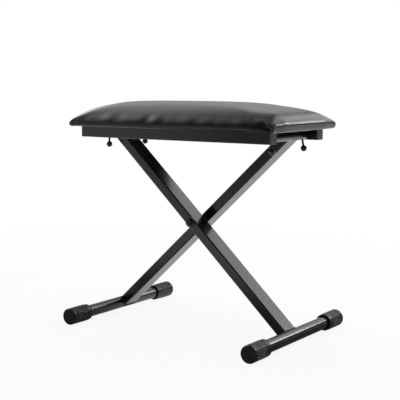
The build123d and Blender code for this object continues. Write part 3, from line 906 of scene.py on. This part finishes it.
def weld(name, leg, lean, tube, body, at_foot, material):
    """The bead where a leg meets the round tube across its end. On a top bar it leaves the levers room."""
    along, across = leg_frame(lean)
    pivot = Vector((PIVOT_X, 0, PIVOT_Z))
    low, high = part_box(tube)
    leg_low, leg_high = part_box(leg)
    radius = (high.x - low.x) / 2
    axis = Vector(((low.x + high.x) / 2, 0, low.z + radius)) - pivot
    axis_along = axis.dot(along)
    axis_across = axis.dot(across)

    def on_tube(u, y, setback, facing):
        """The place on the tube where a line of the leg, u across it, comes down on it."""
        reach = sqrt(max(radius**2 - (u - axis_across) ** 2, setback**2))
        return pivot + along * (axis_along + facing * reach) + across * u + Vector((0, y, 0))

    if at_foot:
        lines = [[on_tube(u, y, LEG_FOOT_SETBACK, 1) for u, y in leg_outline(leg_low.y, leg_high.y)]]
    else:
        half = sqrt(radius**2 - LEG_TOP_SETBACK**2)
        first = max(axis_across - half, -LEG_WIDTH / 2)
        last = min(axis_across + half, LEG_WIDTH / 2)
        steps = np.linspace(first, last, WELD_STEPS)
        lines = []
        for y in (leg_low.y, leg_high.y):
            points = [on_tube(u, y, LEG_TOP_SETBACK, -1) for u in steps]
            for way in (-1, 1):
                run = [point for point in points if way * (point.x - PIVOT_X - axis.x) > LEVER_ROOM]
                lines += [run] if len(run) > 1 else []
    piece = grown(
        name,
        path_mesh(name, lines, at_foot),
        material,
        bead,
        Bead_radius=FOOT_BEAD if at_foot else BAR_BEAD,
        Step=BEAD_STEP,
        Ripple_pitch=RIPPLE_PITCH,
        Ripple_share=RIPPLE_SHARE,
    )
    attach(piece, body)


def welds(material):
    weld("front_leg_foot_weld", "front_leg_tube", -1, "right_foot_tube", "front_leg", True, material)
    weld("front_leg_bar_weld", "front_leg_tube", -1, "left_top_bar", "front_leg", False, material)
    weld("rear_leg_foot_weld", "rear_leg_tube", 1, "left_foot_tube", "rear_leg", True, material)
    weld("rear_leg_bar_weld", "rear_leg_tube", 1, "right_top_bar", "rear_leg", False, material)


def lock_springs(material):
    """Coil springs behind the locking pins, each a fixed coil on its leg at one length; the real ones
    shorten as the levers are squeezed in.
    """
    for name, body in LOCK_BODIES.items():
        low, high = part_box(f"{name}_spring")
        x, z = (low.x + high.x) / 2, (low.z + high.z) / 2
        radius = (high.x - low.x) / 2 - SPRING_WIRE
        inner, outer = sorted((low.y, high.y), key=abs)
        wire = SPRING_WIRE if outer > inner else -SPRING_WIRE
        count = SPRING_TURNS * TURN_STEPS
        line = []
        for step in range(count + 1):
            turn = 2 * pi * step / TURN_STEPS
            y = inner + wire + (outer - inner - 2 * wire) * step / count
            line.append((x + radius * cos(turn), y, z + radius * sin(turn)))
        piece = grown(
            f"{name}_coil",
            path_mesh(f"{name}_coil", [line], False),
            material,
            bead,
            Bead_radius=SPRING_WIRE,
            Step=BEAD_STEP,
            Ripple_pitch=RIPPLE_PITCH,
            Ripple_share=0.0,
        )
        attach(piece, body)
        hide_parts(f"{name}_spring")
        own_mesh(piece)


def dust_staples(material):
    half_x = (DUST_HIGH.x - DUST_LOW.x) / 2 - STAPLE_MARGIN
    half_y = (DUST_HIGH.y - DUST_LOW.y) / 2 - STAPLE_MARGIN
    z = SEAT_BASE - 2 * DUST_THICKNESS - DUST_PUCKER
    corners = [(-half_x, -half_y), (half_x, -half_y), (half_x, half_y), (-half_x, half_y)]
    line = [(SEAT_X + x, y, z) for x, y in corners]
    piece = grown(
        "dust_cover_staples",
        path_mesh("dust_cover_staples", [line], True),
        material,
        staple_row,
        Pitch=STAPLE_PITCH,
        Crown=STAPLE_CROWN,
        Wire=STAPLE_WIRE,
    )
    piece.data.shade_flat()
    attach(piece, "seat")


def paint_frame():
    """Give every solid that stays in view its own finish."""
    paint = frame_paint()
    rubber = cap_rubber()
    plastic = moulded_plastic()
    ball = polished_ball()
    oxide = steel(
        "black_oxide_steel",
        dark=grey(0.03),
        bright=grey(0.09),
        smooth=0.28,
        rough=0.5,
    )
    zinc = steel(
        "zinc_plated_steel",
        dark=grey(0.42, 0.04),
        bright=grey(0.62, 0.02),
        smooth=0.2,
        rough=0.42,
    )
    plywood = stained_plywood()
    endings = {
        "_rail": paint,
        "_leg_tube": paint,
        "_foot_tube": paint,
        "_top_bar": paint,
        "_cap": rubber,
        "_plug": plastic,
        "_bush": plastic,
        "_spacer": plastic,
        "_ball": ball,
        "_lever": oxide,
        "_bolt": oxide,
        "_washer": oxide,
        "_nut": oxide,
        "_staples": oxide,
        "_board": plywood,
    }
    for name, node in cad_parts.items():
        finish = next((m for ending, m in endings.items() if name.endswith(ending)), zinc)
        node.data.materials.clear()
        node.data.materials.append(finish)
    return paint, zinc


def camera():
    data = bpy.data.cameras.new("photo_camera")
    data.sensor_width = SENSOR_WIDTH
    data.lens = FOCAL_PIXELS * SENSOR_WIDTH / IMAGE_PIXELS
    data.clip_end = VIEW_END
    view = bpy.data.objects.new("photo_camera", data)
    bpy.context.scene.collection.objects.link(view)
    ahead = Vector((
        -sin(CAMERA_AZIMUTH) * cos(CAMERA_PITCH),
        cos(CAMERA_AZIMUTH) * cos(CAMERA_PITCH),
        -sin(CAMERA_PITCH),
    ))
    view.location = CAMERA_PLACE + Vector((PIVOT_X, 0, 0))
    view.rotation_euler = ahead.to_track_quat("-Z", "Y").to_euler()
    bpy.context.scene.camera = view


def halved(amount):
    """Bring an amount that runs from -1 to 1 into a ramp's own range."""
    return 0.5 + 0.5 * amount


def studio_floor():
    """A white floor that fades into the white backdrop and keeps the bench's soft shadow. In reflections it
    glows, with painted shade just in front of the bench and painted light further in front and behind it.
    """
    bm = bmesh.new()
    bmesh.ops.create_circle(bm, cap_ends=True, segments=FLOOR_SEGMENTS, radius=FLOOR_RADIUS)
    mesh = bpy.data.meshes.new("studio_floor")
    bm.to_mesh(mesh)
    bm.free()
    floor = bpy.data.objects.new("studio_floor", mesh)
    bpy.context.scene.collection.objects.link(floor)
    material, f = new_finish("white_floor")
    rays = ("Camera", "Glossy", "Transmission")
    camera_ray, glossy_ray, through_ray = [
        f.node("ShaderNodeLightPath", output=f"Is {ray} Ray") for ray in rays
    ]
    distance = f.node("ShaderNodeVectorMath", {"operation": "LENGTH"}, {0: f.coordinates()}, "Value")
    near = f.ramp((distance - SHADOW_RADIUS) / (FLOOR_RADIUS - SHADOW_RADIUS), *SHADOW_STOPS)
    side, depth = [f.node("ShaderNodeSeparateXYZ", {}, {"Vector": f.coordinates()}, axis) for axis in "XY"]
    # Painted shade just in front of the bench and painted light further in front and behind it, seen only
    # in reflections.
    front = f.ramp(halved(depth), *FLOOR_FRONT_SHADE_STOPS)
    rear = f.ramp(halved(FLOOR_REAR_WAY[0] * side + FLOOR_REAR_WAY[1] * depth), *FLOOR_REAR_LIGHT_STOPS)
    painted_floor_light = front.larger(rear)
    diffuse_with_painted_shade = f.node("ShaderNodeBsdfDiffuse", {}, {"Color": f.blend(glossy_ray, grey(FLOOR_GREY), painted_floor_light)})
    shown = f.blend(camera_ray, painted_floor_light, grey(1.0))
    backdrop_and_painted_glow = f.node("ShaderNodeEmission", {}, {"Color": shown, "Strength": 1.0})
    share = (camera_ray * (1 - near * SHADOW_SHARE) + glossy_ray * FLOOR_PAINTED_GLOW + through_ray).clamp()
    mixed = f.node("ShaderNodeMixShader", {}, {0: share, 1: diffuse_with_painted_shade, 2: backdrop_and_painted_glow})
    f.node("ShaderNodeOutputMaterial", {}, {"Surface": mixed})
    mesh.materials.append(material)


def studio_world():
    """White where it is seen directly. The bench is lit by a room that is bright at the left and rear."""
    world = bpy.data.worlds.new("studio")
    world.use_nodes = True
    bpy.context.scene.world = world
    f = Finish(world.node_tree)
    direction = f.node("ShaderNodeTexCoord", output="Generated")
    side, back, up = [f.node("ShaderNodeSeparateXYZ", {}, {"Vector": direction}, axis) for axis in "XYZ"]
    ceiling = f.ramp(halved(CEILING_WAY[0] * side + CEILING_WAY[1] * back), *CEILING_STOPS)
    left = f.ramp(halved(-1 * side), *LEFT_STOPS) * f.ramp(halved(back), *LEFT_REAR_STOPS)
    ceiling = ceiling + LEFT_GLOW * left
    walls = f.ramp(halved(WALL_WAY[0] * side + WALL_WAY[1] * back), *WALL_STOPS)
    low = f.ramp(halved(up), *LOW_STOPS) * f.ramp(halved(back), *LOW_REAR_STOPS)
    walls = f.blend(low, walls, grey(LOW_GLOW))
    room = f.blend(f.ramp(up, *WALL_TOP_STOPS), walls, ceiling)
    camera_ray = f.node("ShaderNodeLightPath", output="Is Camera Ray")
    through_ray = f.node("ShaderNodeLightPath", output="Is Transmission Ray")
    shown = f.blend(camera_ray.larger(through_ray), room, grey(1.0))
    light = f.node("ShaderNodeBackground", {}, {"Color": shown, "Strength": 1.0})
    f.node("ShaderNodeOutputWorld", {}, {"Surface": light})


def soft_light(name, place, width, height, watts, mirrored=True):
    """A rectangular lamp aimed at the bench, which shows in its reflections where it is mirrored."""
    data = bpy.data.lights.new(name, "AREA")
    data.shape = "RECTANGLE"
    data.size = width
    data.size_y = height
    data.energy = watts
    lamp = bpy.data.objects.new(name, data)
    bpy.context.scene.collection.objects.link(lamp)
    lamp.visible_glossy = mirrored
    lamp.location = place
    lamp.rotation_euler = (Vector(LIGHT_AIM) - Vector(place)).to_track_quat("-Z", "Y").to_euler()


def studio_lights():
    soft_light("rear_wall_light", place=(0.225, 2.5, 2.1), width=1.45, height=1.9, watts=15)
    soft_light("rear_strip_light", place=(1.35, 2.4, 1.6), width=0.6, height=1.0, watts=19)
    soft_light("top_fill_light", place=(0.0, 0.2, 2.6), width=2.2, height=2.2, watts=32, mirrored=False)


bpy.context.scene.view_settings.view_transform = "Standard"
camera()
studio_world()
studio_floor()
studio_lights()
paint, zinc = paint_frame()
seat_cushion(black_vinyl())
dust_cover(dust_cloth())
dust_staples(zinc)
welds(paint)
lock_springs(zinc)
